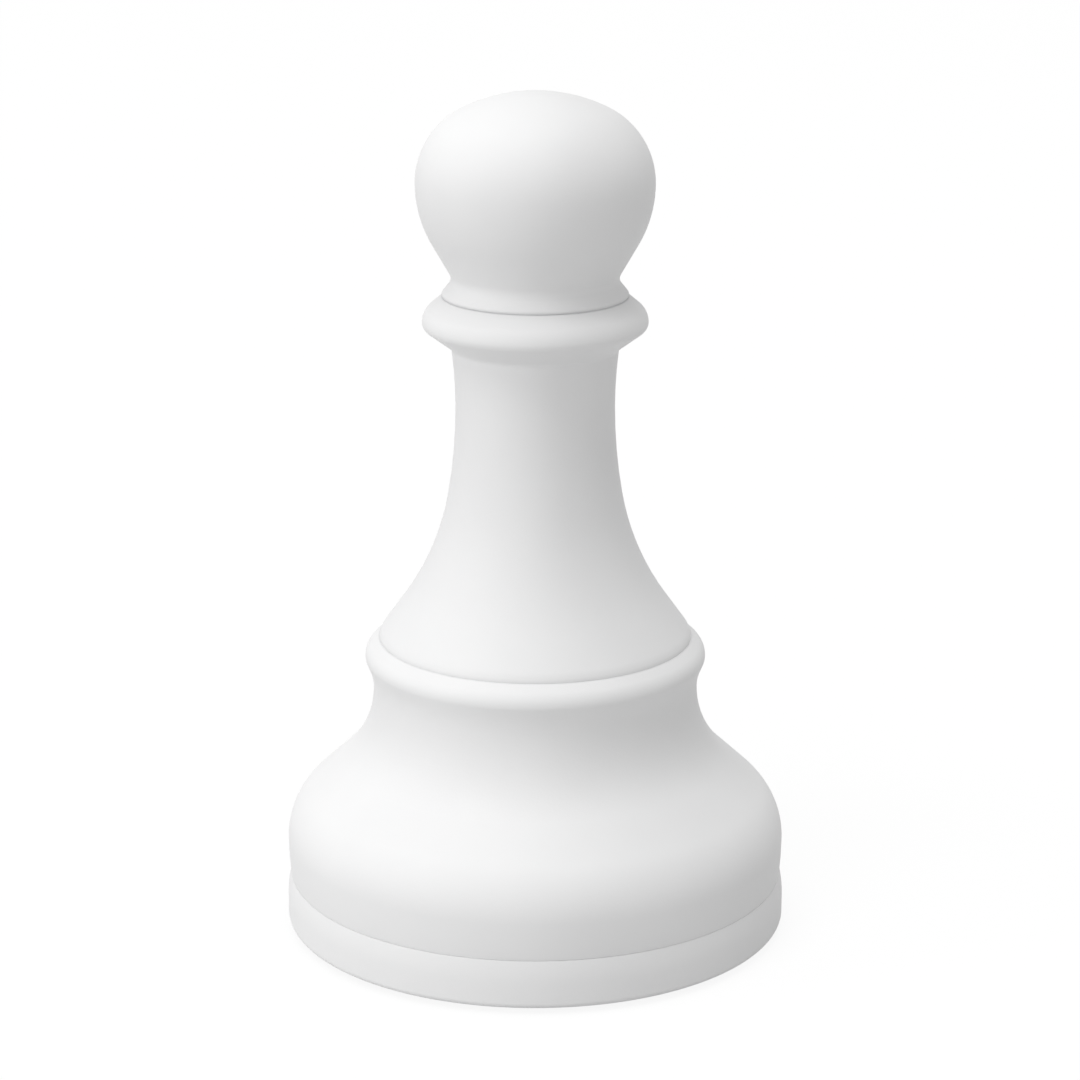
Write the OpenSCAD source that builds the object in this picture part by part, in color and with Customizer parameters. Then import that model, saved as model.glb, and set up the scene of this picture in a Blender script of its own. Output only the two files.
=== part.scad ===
// Chess pawn of four turned mouldings stacked on one axis, weighted inside and held by a tie screw.
// Millimetres. The axis is Z, and the felt's underside lies on z = 0.

/* [Head] */
// Widest diameter of the ball
ball_d = 13.2; // [12:0.1:15]
// Radius of the ball's shoulder, above its widest line
ball_shoulder_r = 4.5; // [3.6:0.1:5.4]
// Radius of the flatter crown
ball_crown_r = 9.2; // [8:0.1:16]
// Radius of the ball below its widest line
ball_lower_r = 6.6; // [6:0.1:8]
// Lean of the ball's lowest stretch, from upright
ball_cone_a = 30; // [26:0.5:38]
// Diameter of the neck, where the ball ends
neck_d = 9.34; // [8.6:0.02:9.8]
// Radius of the fold between the ball and the ring under it
neck_fold_r = 0.6; // [0.3:0.05:0.75]
// Height of the flared ring under the ball
neck_ring_h = 1; // [0.85:0.05:1.6]
// Widest diameter of that ring, near its lower edge
neck_ring_d = 10.36; // [10.2:0.02:10.8]
// Radius of the ring's lower edge
neck_edge_r = 0.15; // [0.1:0.05:0.2]
// How far that edge turns in under the ring, from upright
neck_edge_a = 45; // [10:1:80]
// Diameter of the head's spigot
head_spigot_d = 6.4; // [6:0.1:6.8]
// Length of the head's spigot
head_spigot_l = 3.5; // [2.5:0.1:4.5]

/* [Collar] */
// Widest diameter of the collar
collar_d = 12.56; // [12.2:0.02:14]
// Radius of the collar's upper edge
collar_upper_r = 1.1; // [0.8:0.05:1.6]
// Radius of the collar's lower edge
collar_lower_r = 0.5; // [0.3:0.05:0.9]
// Lean of the collar's top, from upright
collar_top_a = 50; // [42:1:58]
// Lean of the collar's underside, from upright
collar_under_a = 53.5; // [45:0.5:60]
// Radius of the fillet between the shaft and the collar's underside
collar_fillet_r = 0.5; // [0.3:0.05:1]

/* [Stem] */
// Diameter of the stem's waist
waist_d = 8.9; // [8.4:0.05:10]
// Radius of the shaft's curve above the waist
shaft_bend_r = 25.5; // [18:0.5:36]
// Lean of the shaft where the collar's fillet starts, from upright
shaft_lean_a = 7; // [4:0.5:12]
// Radius of the curve just below the waist
waist_bend_r = 29.3; // [20:0.1:40]
// Lean where that curve ends, from upright
waist_bend_a = 10; // [6:0.5:16]
// Radius of the curve into the skirt
flare_bend_r = 15.3; // [13:0.1:18]
// Lean of the straight skirt, from upright
skirt_a = 35.7; // [32:0.1:42]
// Diameter of the skirt at its lower edge
skirt_d = 17.72; // [17:0.02:17.9]
// Radius of the skirt's curve just above that edge
skirt_edge_r = 1.4; // [0.6:0.1:2]
// Lean of the skirt at that edge, from upright
skirt_edge_a = 10; // [0:1:20]
// Wall of the hollow stem
stem_wall = 1.5; // [1.1:0.05:2]
// Length of the stem's spigot
stem_spigot_l = 2.2; // [1.6:0.1:3]
// Thickness of the web under the head's socket
stem_web_t = 1.6; // [1:0.1:2.5]

/* [Base] */
// Widest diameter of the bead
bead_d = 19.34; // [18.9:0.02:20.4]
// Lean of the bead's top, from upright
bead_top_a = 50; // [36:1:60]
// Radius of the bead above its widest line
bead_upper_r = 0.95; // [0.5:0.05:1]
// Radius of the bead below its widest line
bead_lower_r = 0.6; // [0.5:0.05:1]
// Lean of the bead's underside, from upright
bead_under_a = 23; // [15:1:30]
// Diameter of the waist between the bead and the bulb
cove_d = 18.44; // [17.6:0.02:18.8]
// Radius of the hollow above that waist
cove_upper_r = 3.2; // [2:0.1:4]
// Radius of the hollow below that waist
cove_lower_r = 5.9; // [4:0.1:7]
// Lean of the bulb's slope, from upright
bulb_a = 47; // [42:0.5:54]
// Radius of the bulb's shoulder
bulb_shoulder_r = 4; // [3:0.1:5]
// How far the bulb's widest line stands in from the foot's edge
bulb_inset = 0.08; // [0:0.02:0.5]
// Height of the bulb's widest line above the foot
bulb_h = 2.1; // [1.8:0.05:4]
// Radius of the bulb below its widest line
bulb_lower_r = 20; // [10:0.5:40]
// Wall of the hollow base
shell_wall = 1.7; // [1.2:0.05:2.2]

/* [Foot] */
// Widest diameter of the foot, at its lower edge
foot_d = 28.64; // [26:0.02:33]
// Height of the foot
foot_h = 2.78; // [2.4:0.02:4]
// Radius of the foot's lower edge
foot_edge_r = 0.35; // [0.1:0.05:0.6]
// Radius of the foot's wall where it turns in to the seam
foot_upper_r = 5; // [2:0.1:6]
// Height of the ring that centres the base on the foot
foot_ring_h = 1.6; // [1:0.1:2]
// Thickness of that ring
foot_ring_t = 1.2; // [0.8:0.1:2]

/* [Felt] */
// Diameter of the felt pad
felt_d = 25; // [18:0.1:25.6]
// Thickness of the felt pad
felt_t = 1; // [0.6:0.05:1.5]
// Height that the felt stands proud of the foot
felt_proud = 0.3; // [0.1:0.05:0.5]

/* [Weight] */
// Gap between the slug and the base's wall
slug_gap = 0.4; // [0.2:0.05:1]
// Thickness of the packing ring, between the slug and the stem
packing_t = 3.3; // [2.2:0.1:6]
// Gap between the packing ring and the base's wall
packing_gap = 0.3; // [0.1:0.05:1]
// Diameter of the packing ring's hole
packing_hole_d = 5; // [4:0.1:8]

/* [Tie screw] */
// Diameter of the screw's shank
screw_d = 3; // [2.5:0.1:3.4]
// Diameter of the screw's countersunk head
screw_head_d = 5.8; // [5.2:0.1:6.4]
// Length of the screw's thread in the brass insert
screw_grip = 2.75; // [2:0.05:3.8]
// Chamfer at the screw's tip
screw_tip_c = 0.7; // [0.3:0.1:1]
// Width of the hexagonal socket across its corners
screw_socket_d = 2.3; // [1.8:0.1:2.6]
// Depth of the hexagonal socket
screw_socket_h = 1; // [0.6:0.1:1.3]
// Diameter of the brass insert
insert_d = 4.6; // [4.2:0.1:5]
// Length of the brass insert
insert_l = 5; // [4:0.1:6]
// Width of the groove round the insert's middle
insert_groove_w = 1.6; // [0.8:0.1:2.5]
// Depth of that groove
insert_groove_h = 0.25; // [0.1:0.05:0.4]

/* [Fits] */
// Gap all round a spigot, an insert or a screw thread
fit_gap = 0.05; // [0.02:0.01:0.1]
// Gap all round the screw where it passes through a hole
screw_gap = 0.2; // [0.1:0.05:0.3]
// Gap all round the felt in its recess, and at the end of a spigot or screw
end_gap = 0.2; // [0.1:0.05:0.4]
// Step or chamfer where two edges meet at a seam
seam_break = 0.03; // [0.02:0.01:0.2]

/* [Hidden] */
$fn = 180;
// Most that a round stretch of an outline turns from one point to the next
arc_step = 3;

// Point on a circle of an outline, in the direction a
function on_circle(centre, r, a) = centre + r * [cos(a), sin(a)];
// Points of an arc that follow its first one
function arc(centre, r, from, to) =
    let (n = ceil(abs(to - from) / arc_step))
    [for (i = [1 : n]) on_circle(centre, r, from + (to - from) * i / n)];

// Base, from the foot's seam upwards
foot_r = foot_d / 2;
bulb_r = foot_r - bulb_inset;
bulb_lower_c = [bulb_r - bulb_lower_r, bulb_h];
bulb_low_a = -asin((bulb_h - seam_break) / bulb_lower_r);
bulb_low = on_circle(bulb_lower_c, bulb_lower_r, bulb_low_a);
bulb_shoulder_c = [bulb_r - bulb_shoulder_r, bulb_h];
slope_low = on_circle(bulb_shoulder_c, bulb_shoulder_r, bulb_a);
slope_high_r = cove_d / 2 + cove_lower_r * (1 - cos(bulb_a));
slope_high = [slope_high_r, slope_low.y + (slope_low.x - slope_high_r) / tan(bulb_a)];
cove = [cove_d / 2, slope_high.y + cove_lower_r * sin(bulb_a)];
cove_lower_c = cove + [cove_lower_r, 0];
cove_upper_c = cove + [cove_upper_r, 0];
bead_under_low = on_circle(cove_upper_c, cove_upper_r, 180 - bead_under_a);
bead_under_high_r = bead_d / 2 - bead_lower_r * (1 - cos(bead_under_a));
bead_under_h = (bead_under_high_r - bead_under_low.x) / tan(bead_under_a);
bead_under_high = [bead_under_high_r, bead_under_low.y + bead_under_h];
bead_h = bead_under_high.y + bead_lower_r * sin(bead_under_a);
bead_lower_c = [bead_d / 2 - bead_lower_r, bead_h];
bead_upper_c = [bead_d / 2 - bead_upper_r, bead_h];
bead_top_low = on_circle(bead_upper_c, bead_upper_r, bead_top_a);
bead_seat_r = skirt_d / 2 + seam_break;
shell_h = bead_top_low.y + (bead_top_low.x - bead_seat_r) / tan(bead_top_a);
mouth_r = cove_d / 2 - shell_wall;

// Foot, from its lower edge upwards
foot_edge_c = [foot_r - foot_edge_r, foot_edge_r];
foot_seam_r = bulb_low.x;
foot_turn_a = acos(1 - (foot_r - foot_seam_r) / foot_upper_r);
foot_upper_c = [foot_r - foot_upper_r, foot_h - seam_break - foot_upper_r * sin(foot_turn_a)];
foot_ring_r = bulb_r - shell_wall - fit_gap;
foot_ring_inner_r = foot_ring_r - foot_ring_t;
recess_h = felt_t - felt_proud;

// Lower edge of the neck ring, which stands on the collar
neck_edge_c = [neck_ring_d / 2 - neck_edge_r, neck_edge_r * sin(neck_edge_a)];
neck_edge = on_circle(neck_edge_c, neck_edge_r, -neck_edge_a);

// Stem, from the base's seam upwards
stem_spigot_r = mouth_r - fit_gap;
skirt_edge = [skirt_d / 2, 0];
skirt_edge_c = on_circle(skirt_edge, skirt_edge_r, 180 + skirt_edge_a);
skirt_low = on_circle(skirt_edge_c, skirt_edge_r, skirt_a);
waist_r = waist_d / 2;
flare_high_r = waist_r + waist_bend_r * (1 - cos(waist_bend_a));
flare_low_r = flare_high_r + flare_bend_r * (cos(waist_bend_a) - cos(skirt_a));
flare_low = [flare_low_r, skirt_low.y + (skirt_low.x - flare_low_r) / tan(skirt_a)];
flare_c = on_circle(flare_low, flare_bend_r, skirt_a);
flare_high = on_circle(flare_c, flare_bend_r, 180 + waist_bend_a);
waist = [waist_r, flare_high.y + waist_bend_r * sin(waist_bend_a)];
waist_bend_c = waist + [waist_bend_r, 0];
shaft_bend_c = waist + [shaft_bend_r, 0];
shaft_high = on_circle(shaft_bend_c, shaft_bend_r, 180 - shaft_lean_a);
collar_fillet_c = on_circle(shaft_high, collar_fillet_r, -shaft_lean_a);
collar_under_low = on_circle(collar_fillet_c, collar_fillet_r, 180 - collar_under_a);
collar_under_high_r = collar_d / 2 - collar_lower_r * (1 - cos(collar_under_a));
collar_under_h = (collar_under_high_r - collar_under_low.x) / tan(collar_under_a);
collar_under_high = [collar_under_high_r, collar_under_low.y + collar_under_h];
collar_h = collar_under_high.y + collar_lower_r * sin(collar_under_a);
collar_lower_c = [collar_d / 2 - collar_lower_r, collar_h];
collar_upper_c = [collar_d / 2 - collar_upper_r, collar_h];
collar_top_low = on_circle(collar_upper_c, collar_upper_r, collar_top_a);
collar_seat_r = neck_edge.x + seam_break;
stem_h = collar_top_low.y + (collar_top_low.x - collar_seat_r) / tan(collar_top_a);
socket_h = head_spigot_l + end_gap;

// Head, from the neck's seam upwards
neck_r = neck_d / 2;
ball_r = ball_d / 2;
neck_fold_c = [neck_r + neck_fold_r, neck_ring_h];
neck_span = neck_fold_c - neck_edge_c;
neck_ring_a = atan2(neck_span.y, neck_span.x) - acos((neck_fold_r + neck_edge_r) / norm(neck_span));
ball_cone_low = on_circle(neck_fold_c, neck_fold_r, 180 - ball_cone_a);
ball_cone_high_r = ball_r - ball_lower_r * (1 - cos(ball_cone_a));
ball_cone_h = (ball_cone_high_r - ball_cone_low.x) / tan(ball_cone_a);
ball_cone_high = [ball_cone_high_r, ball_cone_low.y + ball_cone_h];
ball_h = ball_cone_high.y + ball_lower_r * sin(ball_cone_a);
ball_lower_c = [ball_r - ball_lower_r, ball_h];
ball_shoulder_c = [ball_r - ball_shoulder_r, ball_h];
crown_a = acos((ball_r - ball_shoulder_r) / (ball_crown_r - ball_shoulder_r));
ball_crown_c = [0, ball_h - (ball_crown_r - ball_shoulder_r) * sin(crown_a)];

// Heights of the seams above the felt's underside, and of what lies between them
foot_z = felt_proud;
shell_z = foot_z + foot_h;
stem_z = shell_z + shell_h;
head_z = stem_z + stem_h;
packing_z = stem_z - stem_spigot_l - packing_t;
slug_h = packing_z - shell_z;
screw_z = foot_z + recess_h;
screw_hole_r = screw_d / 2 + screw_gap;
insert_z = head_z - head_spigot_l;
screw_l = insert_z + screw_grip - screw_z;

head_outline = concat(
    [[0, -head_spigot_l], [head_spigot_d / 2, -head_spigot_l], [head_spigot_d / 2, 0]],
    [neck_edge],
    arc(neck_edge_c, neck_edge_r, -neck_edge_a, neck_ring_a),
    [on_circle(neck_fold_c, neck_fold_r, 180 + neck_ring_a)],
    arc(neck_fold_c, neck_fold_r, 180 + neck_ring_a, 180 - ball_cone_a),
    [ball_cone_high],
    arc(ball_lower_c, ball_lower_r, -ball_cone_a, 0),
    arc(ball_shoulder_c, ball_shoulder_r, 0, crown_a),
    arc(ball_crown_c, ball_crown_r, crown_a, 90)
);

stem_outline = concat(
    [[0, -stem_spigot_l], [stem_spigot_r, -stem_spigot_l], [stem_spigot_r, 0]],
    [skirt_edge],
    arc(skirt_edge_c, skirt_edge_r, skirt_edge_a, skirt_a),
    [flare_low],
    arc(flare_c, flare_bend_r, 180 + skirt_a, 180 + waist_bend_a),
    arc(waist_bend_c, waist_bend_r, 180 + waist_bend_a, 180),
    arc(shaft_bend_c, shaft_bend_r, 180, 180 - shaft_lean_a),
    arc(collar_fillet_c, collar_fillet_r, 180 - shaft_lean_a, 180 - collar_under_a),
    [collar_under_high],
    arc(collar_lower_c, collar_lower_r, -collar_under_a, 0),
    arc(collar_upper_c, collar_upper_r, 0, collar_top_a),
    [[collar_seat_r, stem_h], [0, stem_h]]
);

shell_outline = concat(
    [[0, 0], [foot_seam_r - seam_break, 0], bulb_low],
    arc(bulb_lower_c, bulb_lower_r, bulb_low_a, 0),
    arc(bulb_shoulder_c, bulb_shoulder_r, 0, bulb_a),
    [slope_high],
    arc(cove_lower_c, cove_lower_r, 180 + bulb_a, 180),
    arc(cove_upper_c, cove_upper_r, 180, 180 - bead_under_a),
    [bead_under_high],
    arc(bead_lower_c, bead_lower_r, -bead_under_a, 0),
    arc(bead_upper_c, bead_upper_r, 0, bead_top_a),
    [[bead_seat_r, shell_h], [0, shell_h]]
);

foot_outline = concat(
    [[0, 0], [foot_edge_c.x, 0]],
    arc(foot_edge_c, foot_edge_r, -90, 0),
    [on_circle(foot_upper_c, foot_upper_r, 0)],
    arc(foot_upper_c, foot_upper_r, 0, foot_turn_a),
    [[foot_seam_r - seam_break, foot_h], [foot_ring_r, foot_h]],
    [[foot_ring_r, foot_h + foot_ring_h], [foot_ring_inner_r, foot_h + foot_ring_h]],
    [[foot_ring_inner_r, foot_h], [0, foot_h]]
);

// Space inside the base, at a depth under its surface
module shell_space(depth) {
    polygon(concat(
        [[0, 0], [bulb_r - depth, 0], [bulb_r - depth, bulb_h]],
        arc(bulb_shoulder_c, bulb_shoulder_r - depth, 0, bulb_a),
        [on_circle(slope_high, depth, 180 + bulb_a)],
        arc(cove_lower_c, cove_lower_r + depth, 180 + bulb_a, 180),
        [[cove.x - depth, shell_h], [0, shell_h]]
    ));
}

// Space inside the stem, a wall under its surface, with its mouth no wider than the spigot allows
module stem_space() {
    low = on_circle(flare_low, stem_wall, 180 + skirt_a);
    mouth_h = low.y + stem_spigot_l;
    space_h = stem_h - socket_h - stem_web_t + stem_spigot_l;
    intersection() {
        polygon(concat(
            [[0, -stem_spigot_l], [low.x + mouth_h * tan(skirt_a), -stem_spigot_l], low],
            arc(flare_c, flare_bend_r + stem_wall, 180 + skirt_a, 180 + waist_bend_a),
            arc(waist_bend_c, waist_bend_r + stem_wall, 180 + waist_bend_a, 180),
            [[waist.x - stem_wall, stem_h], [0, stem_h]]
        ));
        translate([0, -stem_spigot_l]) square([stem_spigot_r - stem_wall, space_h]);
    }
}

// Outline of the screw's head, larger by a gap
module screw_head(gap) {
    polygon([
        [0, 0], [screw_head_d / 2 + gap, 0],
        [screw_d / 2 + gap, (screw_head_d - screw_d) / 2], [0, (screw_head_d - screw_d) / 2]
    ]);
}

// Ball and neck ring, with the spigot that plugs into the stem
module head() {
    color("gainsboro")
        translate([0, 0, head_z])
            rotate_extrude() difference() {
                polygon(head_outline);
                translate([0, -head_spigot_l]) square([insert_d / 2 + fit_gap, insert_l + end_gap]);
            }
}

// Brass insert in the head that takes the tie screw
module thread_insert() {
    color("goldenrod")
        translate([0, 0, insert_z])
            rotate_extrude() difference() {
                translate([screw_d / 2 + fit_gap, 0])
                    square([(insert_d - screw_d) / 2 - fit_gap, insert_l]);
                translate([insert_d / 2 - insert_groove_h, (insert_l - insert_groove_w) / 2])
                    square([insert_d, insert_groove_w]);
            }
}

// Collar, shaft and skirt, hollow from below
module stem() {
    color("gainsboro")
        translate([0, 0, stem_z])
            rotate_extrude() difference() {
                polygon(stem_outline);
                stem_space();
                square([screw_hole_r, stem_h]);
                translate([0, stem_h - socket_h]) square([head_spigot_d / 2 + fit_gap, socket_h]);
            }
}

// Bead and bulb, one open shell
module base_shell() {
    color("gainsboro")
        translate([0, 0, shell_z])
            rotate_extrude() difference() {
                polygon(shell_outline);
                shell_space(shell_wall);
            }
}

// Foot, with the ring that centres the base and the recess that holds the felt
module foot() {
    color("gainsboro")
        translate([0, 0, foot_z])
            rotate_extrude() difference() {
                polygon(foot_outline);
                square([felt_d / 2 + end_gap, recess_h]);
                square([screw_hole_r, foot_h]);
                translate([0, recess_h]) screw_head(fit_gap);
            }
}

// Steel slug that stands on the foot, inside the foot's ring and under the base's slope
module weight_slug() {
    color("dimgray")
        translate([0, 0, shell_z])
            rotate_extrude() difference() {
                intersection() {
                    square([foot_ring_inner_r - fit_gap, slug_h]);
                    shell_space(shell_wall + slug_gap);
                }
                square([screw_hole_r, slug_h]);
            }
}

// Rubber ring that keeps the slug from rattling
module packing_ring() {
    color("darkslategray")
        translate([0, 0, packing_z])
            rotate_extrude()
                translate([packing_hole_d / 2, 0])
                    square([mouth_r - packing_gap - packing_hole_d / 2, packing_t]);
}

// Countersunk screw from under the foot up into the head's insert
module tie_screw() {
    shank_r = screw_d / 2;
    color("silver")
        translate([0, 0, screw_z]) difference() {
            rotate_extrude() {
                screw_head(0);
                polygon([
                    [0, 0], [shank_r, 0], [shank_r, screw_l - screw_tip_c],
                    [shank_r - screw_tip_c, screw_l], [0, screw_l]
                ]);
            }
            cylinder(d = screw_socket_d, h = screw_socket_h, $fn = 6);
        }
}

// Felt pad that the pawn stands on
module felt_pad() {
    color("darkgreen") cylinder(d = felt_d, h = felt_t);
}

head();
thread_insert();
stem();
base_shell();
foot();
weight_slug();
packing_ring();
tie_screw();
felt_pad();
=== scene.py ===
import math

import bpy
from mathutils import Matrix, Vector


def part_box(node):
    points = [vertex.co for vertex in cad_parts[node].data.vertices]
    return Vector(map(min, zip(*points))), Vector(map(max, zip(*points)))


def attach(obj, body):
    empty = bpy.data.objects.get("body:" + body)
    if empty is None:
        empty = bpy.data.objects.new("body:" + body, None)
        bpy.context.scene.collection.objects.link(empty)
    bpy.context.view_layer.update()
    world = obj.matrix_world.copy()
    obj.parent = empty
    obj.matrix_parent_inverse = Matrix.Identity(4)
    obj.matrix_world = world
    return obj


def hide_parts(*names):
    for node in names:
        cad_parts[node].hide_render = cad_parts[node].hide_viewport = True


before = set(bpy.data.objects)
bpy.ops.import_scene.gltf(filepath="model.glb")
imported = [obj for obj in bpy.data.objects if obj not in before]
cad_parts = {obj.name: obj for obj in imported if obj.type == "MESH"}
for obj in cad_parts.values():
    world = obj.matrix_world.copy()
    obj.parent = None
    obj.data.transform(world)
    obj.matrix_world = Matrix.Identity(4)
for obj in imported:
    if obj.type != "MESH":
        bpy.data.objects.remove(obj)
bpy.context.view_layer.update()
mm = 0.001                                  # lengths below are in millimetres times this
print("frame loaded:", ", ".join(sorted(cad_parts)))


def pickOnly(piece):
    bpy.ops.object.select_all(action="DESELECT")
    piece.select_set(True)
    bpy.context.view_layer.objects.active = piece


def pickVerts(piece, wanted):
    bpy.ops.object.mode_set(mode="EDIT")
    bpy.ops.mesh.select_mode(type="VERT")
    bpy.ops.mesh.select_all(action="DESELECT")
    bpy.ops.object.mode_set(mode="OBJECT")
    for vert in piece.data.vertices:
        vert.select = wanted(vert)
    bpy.ops.object.mode_set(mode="EDIT")


# Turned pieces: an outline is cut from the CAD solid, softened at its corners and spun again in finer steps.
turning = {
    "steps": 256,                           # facets round the axis
    "cornerAngle": 18,                      # degrees, sharper corners of the outline are softened
    "cornerRound": 0.012 * mm,
    "cornerCuts": 3,
    "straight": 0.3,                        # degrees, points on a straighter run are taken out
    "smoothAngle": 40,                      # degrees, flatter edges are shaded smooth
    "weld": 0.0005 * mm,
}


def cutOutline(node, name):
    piece = bpy.data.objects.new(name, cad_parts[node].data.copy())
    bpy.context.scene.collection.objects.link(piece)
    pickOnly(piece)
    bpy.ops.object.mode_set(mode="EDIT")
    bpy.ops.mesh.select_all(action="SELECT")
    bpy.ops.mesh.remove_doubles(threshold=turning["weld"])
    for across, farHalf in (((1, 0, 0), False), ((0, 1, 0), True)):     # half the solid, then its outline
        bpy.ops.mesh.select_all(action="SELECT")
        bpy.ops.mesh.bisect(plane_co=(0, 0, 0), plane_no=across, clear_inner=True, clear_outer=farHalf,
                            threshold=turning["weld"])
    bpy.ops.mesh.select_all(action="SELECT")
    bpy.ops.mesh.dissolve_limited(angle_limit=math.radians(turning["straight"]))
    bpy.ops.object.mode_set(mode="OBJECT")
    return piece


def cornerVerts(piece, limit):
    mesh = piece.data
    ways = {vert.index: [] for vert in mesh.vertices}
    for edge in mesh.edges:
        low, high = edge.vertices
        way = (mesh.vertices[high].co - mesh.vertices[low].co).normalized()
        ways[low].append(way)
        ways[high].append(-way)
    turns = {index: math.pi - pair[0].angle(pair[1]) for index, pair in ways.items() if len(pair) == 2}
    return {index for index, turn in turns.items() if turn > math.radians(limit)}


def spinOutline(piece):
    lathe = piece.modifiers.new("lathe", "SCREW")
    lathe.steps = lathe.render_steps = turning["steps"]
    lathe.use_merge_vertices = True
    lathe.merge_threshold = turning["weld"]
    bpy.ops.object.modifier_apply(modifier=lathe.name)
    bpy.ops.object.mode_set(mode="EDIT")
    bpy.ops.mesh.select_all(action="SELECT")
    bpy.ops.mesh.remove_doubles(threshold=turning["weld"])
    bpy.ops.mesh.normals_make_consistent(inside=False)
    bpy.ops.object.mode_set(mode="OBJECT")
    bpy.ops.object.shade_smooth_by_angle(angle=math.radians(turning["smoothAngle"]))


def turnPiece(node, name):
    piece = cutOutline(node, name)
    corners = cornerVerts(piece, turning["cornerAngle"])
    pickVerts(piece, lambda vert: vert.index in corners)
    bpy.ops.mesh.bevel(offset=turning["cornerRound"], segments=turning["cornerCuts"], affect="VERTICES")
    bpy.ops.object.mode_set(mode="OBJECT")
    spinOutline(piece)
    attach(piece, "root")
    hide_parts(node)
    print("turned", name, len(piece.data.polygons), "faces")
    return piece


mouldings = [turnPiece(node, node + "_turned") for node in ("head", "stem", "base_shell", "foot")]


# Felt pad: the same outline with a soft rim and a worn, lumpy underside.
felt = {
    "rim": 0.22 * mm,                       # rounding of the cut edge
    "rimCuts": 5,
    "rings": 90,                            # facets from the middle to the rim
    "lump": 0.9 * mm,                       # size of the lumps in the pressed wool
    "lumpDepth": 0.07 * mm,
    "lumpDetail": 4,
}


def feltPad():
    piece = cutOutline("felt_pad", "felt_disc")
    low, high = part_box("felt_pad")
    rim = high.x - turning["weld"]
    pickVerts(piece, lambda vert: vert.co.x > rim)
    bpy.ops.mesh.bevel(offset=felt["rim"], segments=felt["rimCuts"], affect="VERTICES")
    pickVerts(piece, lambda vert: vert.co.z < low.z + turning["weld"])
    bpy.ops.mesh.subdivide(number_cuts=felt["rings"])
    bpy.ops.object.mode_set(mode="OBJECT")
    spinOutline(piece)
    lumps = bpy.data.textures.new("feltLumps", "CLOUDS")
    lumps.noise_scale = felt["lump"]
    lumps.noise_depth = felt["lumpDetail"]
    press = piece.modifiers.new("press", "DISPLACE")
    press.texture = lumps
    press.texture_coords = "LOCAL"
    press.mid_level = 1                     # only inwards, so the pad still lies on the floor
    press.strength = felt["lumpDepth"]
    bpy.ops.object.modifier_apply(modifier=press.name)
    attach(piece, "root")
    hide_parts("felt_pad")
    print("felt pad", len(piece.data.polygons), "faces")
    return piece


feltDisc = feltPad()


# Materials
class Signal:                               # a node's output that takes part in sums
    def __init__(self, finish, socket):
        self.finish = finish
        self.socket = socket

    def sum(self, operation, left, right):
        return self.finish.node("ShaderNodeMath", {"operation": operation}, {0: left, 1: right})

    def __add__(self, other):
        return self.sum("ADD", self, other)

    def __radd__(self, other):
        return self.sum("ADD", other, self)

    def __sub__(self, other):
        return self.sum("SUBTRACT", self, other)

    def __rsub__(self, other):
        return self.sum("SUBTRACT", other, self)

    def __mul__(self, other):
        return self.sum("MULTIPLY", self, other)

    def __rmul__(self, other):
        return self.sum("MULTIPLY", other, self)


def findSocket(sockets, key):               # by its place or its name
    shown = [socket for socket in sockets if socket.enabled]
    if isinstance(key, int):
        return shown[key]
    return next(socket for socket in shown if socket.name == key)


class Finish:                               # a node tree that is written as sums
    def __init__(self, owner):
        owner.use_nodes = True
        self.owner = owner
        self.tree = owner.node_tree
        self.tree.nodes.clear()

    def node(self, kind, settings=None, sockets=None, out=0):
        made = self.tree.nodes.new(kind)
        for key, value in (settings or {}).items():
            setattr(made, key, value)
        for key, value in (sockets or {}).items():
            socket = findSocket(made.inputs, key)
            if isinstance(value, Signal):
                self.tree.links.new(value.socket, socket)
            else:
                socket.default_value = value
        return Signal(self, findSocket(made.outputs, out)) if made.outputs else made

    def coords(self):
        return self.node("ShaderNodeTexCoord", out="Object")

    def noise(self, cloud):
        return self.node("ShaderNodeTexNoise", None, {
            "Vector": self.coords(), "Scale": 1 / cloud["size"],
            "Detail": cloud["detail"], "Roughness": cloud["rough"]})

    def blend(self, share, first, second):
        return self.node("ShaderNodeMix", {"data_type": "RGBA"}, {
            "Factor": share, "A": first, "B": second})

    def height(self):
        return self.node("ShaderNodeSeparateXYZ", None, {"Vector": self.coords()}, "Z")

    def step(self, value, low, high):       # 0 below low, 1 above high, smooth between
        return self.node("ShaderNodeMapRange", {"interpolation_type": "SMOOTHSTEP"}, {
            "Value": value, "From Min": low, "From Max": high})

    def bump(self, height, depth):
        return self.node("ShaderNodeBump", None, {"Height": height, "Distance": depth})

    def surface(self, sockets):
        shader = self.node("ShaderNodeBsdfPrincipled", None, sockets)
        self.node("ShaderNodeOutputMaterial", None, {"Surface": shader})
        return self.owner


def newFinish(name):
    return Finish(bpy.data.materials.new(name))


def vary(middle, spread, noise):            # a value that follows the noise, which runs from 0 to 1
    return middle + (noise - 0.5) * spread


def dress(pieces, material):
    for piece in pieces:
        piece.data.materials.clear()
        piece.data.materials.append(material)


plastic = {
    "body": (0.80, 0.80, 0.80, 1),
    "shade": (0.765, 0.765, 0.768, 1),      # slightly greyer patches of the moulding
    "dust_and_shade": (0.52, 0.52, 0.53, 1),          # dust in the seams, also painted shade in the creases between the pieces
    "patch": {"size": 5 * mm, "detail": 3, "rough": 0.5},
    "grain": {"size": 0.16 * mm, "detail": 3, "rough": 0.6},
    "grainDepth": 0.004 * mm,
    "seams": {"head": 0.5, "stem": 0.25, "base_shell": 0.1},       # share of dust and painted crease shade under each piece
    "seamBelow": 0.06 * mm,                 # how far the dust and painted shade reach below and above a seam
    "seamAbove": 0.25 * mm,
    "rough": 0.6,
    "roughSpread": 0.1,
    "ior": 1.3,                             # matt surface, little gloss
}


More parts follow.
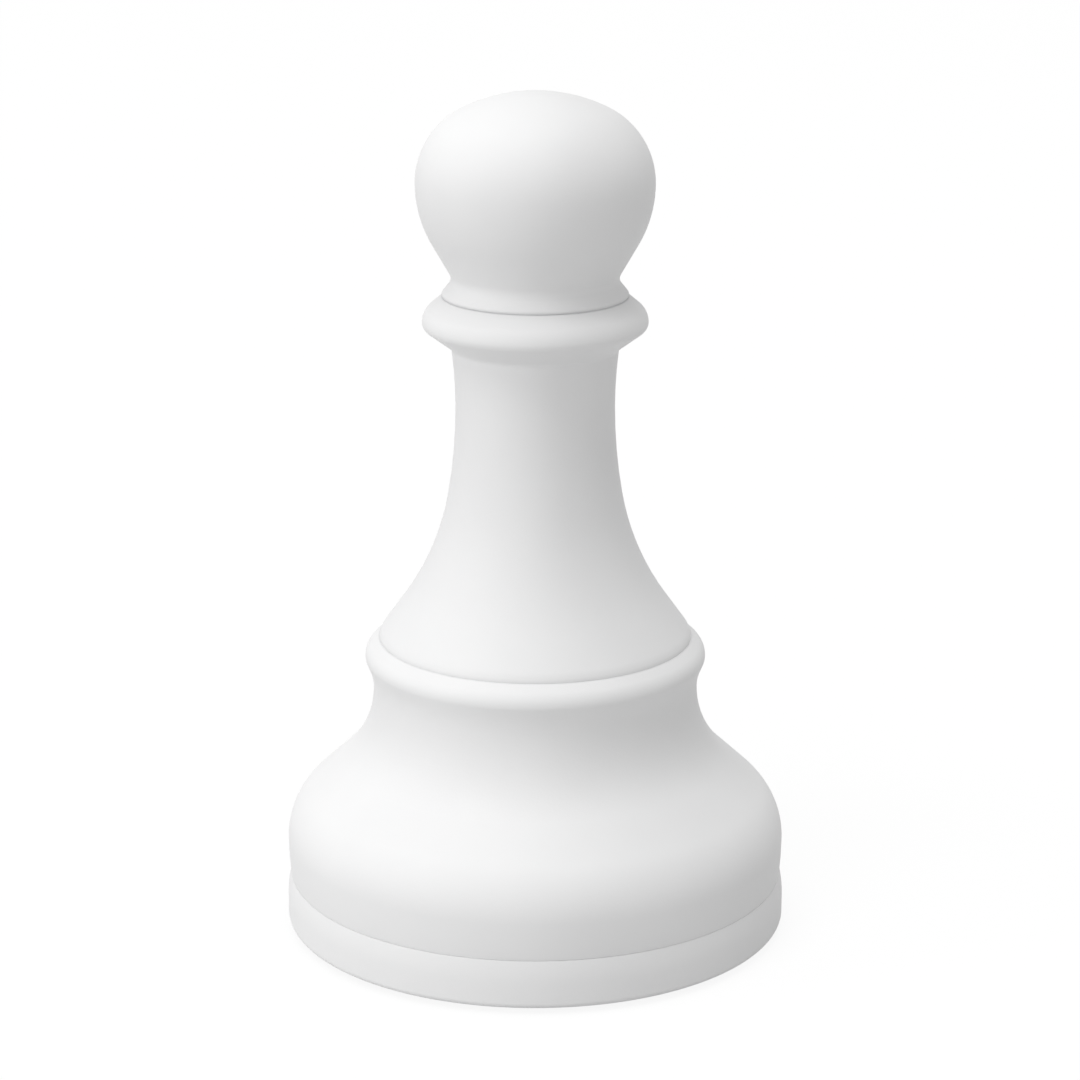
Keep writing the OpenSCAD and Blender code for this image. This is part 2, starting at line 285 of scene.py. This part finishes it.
def mouldedPlastic():
    finish = newFinish("moulded_plastic")
    seams = {"head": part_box("stem")[1].z, "stem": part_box("base_shell")[1].z,
             "base_shell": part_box("base_shell")[0].z}
    z = finish.height()
    # dust and painted shade along each seam: darkest at the seam, fading further upwards than downwards
    dust_and_shade = 0
    for node, seam in seams.items():
        near = finish.step(z, seam - plastic["seamBelow"], seam)
        past = finish.step(z, seam, seam + plastic["seamAbove"])
        dust_and_shade = dust_and_shade + (near - past) * plastic["seams"][node]
    patches = finish.noise(plastic["patch"])
    grain = finish.noise(plastic["grain"])
    body = finish.blend(patches, plastic["body"], plastic["shade"])
    return finish.surface({
        "Base Color": finish.blend(dust_and_shade, body, plastic["dust_and_shade"]),
        "Roughness": vary(plastic["rough"], plastic["roughSpread"], patches),
        "Normal": finish.bump(grain, plastic["grainDepth"]),
        "IOR": plastic["ior"],
    })


wool = {
    "deep": (0.012, 0.055, 0.026, 1),
    "lit": (0.060, 0.200, 0.105, 1),
    "tuft": {"size": 0.55 * mm, "detail": 4, "rough": 0.6},
    "fibre": {"size": 0.12 * mm, "detail": 5, "rough": 0.7},
    "napDepth": 0.05 * mm,
    "mottle": (0.76, 1.24),                 # where the nap turns from deep to lit
    "rough": 0.95,
    "sheen": 0.4,
    "sheenRough": 0.6,
}


def pressedWool():
    finish = newFinish("pressed_wool")
    nap = finish.noise(wool["tuft"]) + finish.noise(wool["fibre"])
    mottle = finish.step(nap, *wool["mottle"])
    return finish.surface({
        "Base Color": finish.blend(mottle, wool["deep"], wool["lit"]),
        "Roughness": wool["rough"],
        "Sheen Weight": wool["sheen"],
        "Sheen Roughness": wool["sheenRough"],
        "Normal": finish.bump(nap, wool["napDepth"]),
    })


metals = {
    "tie_screw": {
        "name": "zinc_plate", "shade": (0.62, 0.62, 0.64, 1), "rough": 0.3, "groove": 0.05 * mm},
    "thread_insert": {
        "name": "turned_brass", "shade": (0.72, 0.50, 0.20, 1), "rough": 0.28, "groove": 0.08 * mm},
    "weight_slug": {
        "name": "sawn_steel", "shade": (0.33, 0.33, 0.34, 1), "rough": 0.45, "groove": 0.15 * mm},
}
tarnish = {
    "shade": (0.2, 0.2, 0.2, 1),
    "share": 0.4,
    "patch": {"size": 2 * mm, "detail": 4, "rough": 0.5},
    "roughSpread": 0.2,
    "grooveDepth": 0.002 * mm,
    "grooveWander": 1.5,                    # how far the tool marks stray from true rings
    "waveLength": math.pi / 10,             # length of one wave at a scale of 1
}


def turnedMetal(look):
    finish = newFinish(look["name"])
    marks = finish.node("ShaderNodeTexWave", {"bands_direction": "Z"}, {
        "Vector": finish.coords(), "Scale": tarnish["waveLength"] / look["groove"],
        "Distortion": tarnish["grooveWander"]}, "Fac")
    dull = finish.noise(tarnish["patch"])
    return finish.surface({
        "Base Color": finish.blend(dull * tarnish["share"], look["shade"], tarnish["shade"]),
        "Metallic": 1.0,
        "Roughness": vary(look["rough"], tarnish["roughSpread"], dull),
        "Normal": finish.bump(marks, tarnish["grooveDepth"]),
    })


rubber = {
    "body": (0.018, 0.018, 0.018, 1),
    "bloom": (0.05, 0.05, 0.05, 1),         # the greyish film of old rubber
    "patch": {"size": 1.2 * mm, "detail": 4, "rough": 0.5},
    "grain": {"size": 0.1 * mm, "detail": 3, "rough": 0.5},
    "grainDepth": 0.005 * mm,
    "rough": 0.7,
    "roughSpread": 0.2,
}


def packingRubber():
    finish = newFinish("packing_rubber")
    bloom = finish.noise(rubber["patch"])
    return finish.surface({
        "Base Color": finish.blend(bloom, rubber["body"], rubber["bloom"]),
        "Roughness": vary(rubber["rough"], rubber["roughSpread"], bloom),
        "Normal": finish.bump(finish.noise(rubber["grain"]), rubber["grainDepth"]),
    })


dress(mouldings, mouldedPlastic())
dress([feltDisc], pressedWool())
dress([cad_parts["packing_ring"]], packingRubber())
for node, look in metals.items():
    dress([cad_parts[node]], turnedMetal(look))
print("materials set")


# Floor: pale, white to the eye, and it keeps a soft shadow of the pawn.
plainWhite = (1, 1, 1, 1)
stand = {
    "width": 6.0,
    "colour": (0.96, 0.96, 0.96, 1),
    "bounce": (0.60, 0.60, 0.60, 1),        # what it throws back at the pawn
    "whiten": 0.90,                         # share of plain white that the eye sees
}


def whiteRays(finish):                      # rays that see the white ground
    rays = finish.node("ShaderNodeLightPath").socket.node.outputs
    seen = Signal(finish, rays["Is Camera Ray"])
    for name in ("Is Glossy Ray", "Is Transmission Ray"):
        seen = seen.sum("MAXIMUM", seen, Signal(finish, rays[name]))
    return seen


def layFloor():
    bpy.ops.object.select_all(action="DESELECT")
    bpy.ops.mesh.primitive_plane_add(size=stand["width"], location=(0, 0, 0))
    floor = bpy.context.object
    floor.name = "floor"
    finish = newFinish("floor_white")
    seen = whiteRays(finish)
    matt = finish.node("ShaderNodeBsdfDiffuse", None, {
        "Color": finish.blend(seen, stand["bounce"], stand["colour"])})
    white = finish.node("ShaderNodeEmission", None, {"Color": plainWhite, "Strength": 1.0})
    top = finish.node("ShaderNodeMixShader", None, {0: seen * stand["whiten"], 1: matt, 2: white})
    under = finish.node("ShaderNodeNewGeometry", out="Backfacing")
    clear = finish.node("ShaderNodeBsdfTransparent")
    whole = finish.node("ShaderNodeMixShader", None, {0: under, 1: top, 2: clear})
    finish.node("ShaderNodeOutputMaterial", None, {"Surface": whole})
    dress([floor], finish.owner)


layFloor()


# Light: soft boxes above and on the left, and even light from all round.
studio = {
    "aim": (0, 0, 24 * mm),
    "ambient": 0.55,
    "lamps": {
        "key": {"from": (-0.707, -0.707, 1.756), "width": 0.75, "power": 7.7},
        "side": {"from": (-1.874, -0.502, 0.508), "width": 0.75, "power": 9.4},
        "top": {"from": (0, -0.035, 2.024), "width": 1.0, "power": 13.2},
        "front": {"from": (-0.940, -1.628, 0.708), "width": 1.5, "power": 4.8},
    },
}


def lightStudio():
    world = bpy.data.worlds.new("studio")
    bpy.context.scene.world = world
    finish = Finish(world)
    even = finish.node("ShaderNodeBackground", None, {"Color": plainWhite, "Strength": studio["ambient"]})
    white = finish.node("ShaderNodeBackground", None, {"Color": plainWhite, "Strength": 1.0})
    sky = finish.node("ShaderNodeMixShader", None, {0: whiteRays(finish), 1: even, 2: white})
    finish.node("ShaderNodeOutputWorld", None, {"Surface": sky})
    for name, lamp in studio["lamps"].items():
        place = Vector(lamp["from"])
        bpy.ops.object.light_add(type="AREA", location=place)
        light = bpy.context.object
        light.name = name
        light.data.size = lamp["width"]
        light.data.energy = lamp["power"]
        light.rotation_euler = (Vector(studio["aim"]) - place).to_track_quat("-Z", "Y").to_euler()


lightStudio()


# Camera, at the photograph's angle
view = {
    "aim": (0, 0, 22.663 * mm),
    "distance": 186.65 * mm,
    "rise": 16.32,                          # degrees above level
    "lens": 110.2,                          # focal length and sensor width, in millimetres
    "sensor": 36,
    "shift": 0.0044,                        # the pawn stands a little left of the middle
    "nearest": 10 * mm,                     # what is closer to the camera isn't drawn
}


def placeCamera():
    rise = math.radians(view["rise"])
    back = Vector((0, -math.cos(rise), math.sin(rise)))
    bpy.ops.object.camera_add(location=Vector(view["aim"]) + back * view["distance"])
    camera = bpy.context.object
    camera.rotation_euler = back.to_track_quat("Z", "Y").to_euler()
    camera.data.lens = view["lens"]
    camera.data.sensor_width = view["sensor"]
    camera.data.shift_x = view["shift"]
    camera.data.clip_start = view["nearest"]
    bpy.context.scene.camera = camera


placeCamera()
bpy.context.scene.view_settings.view_transform = "Standard"
print("studio ready")
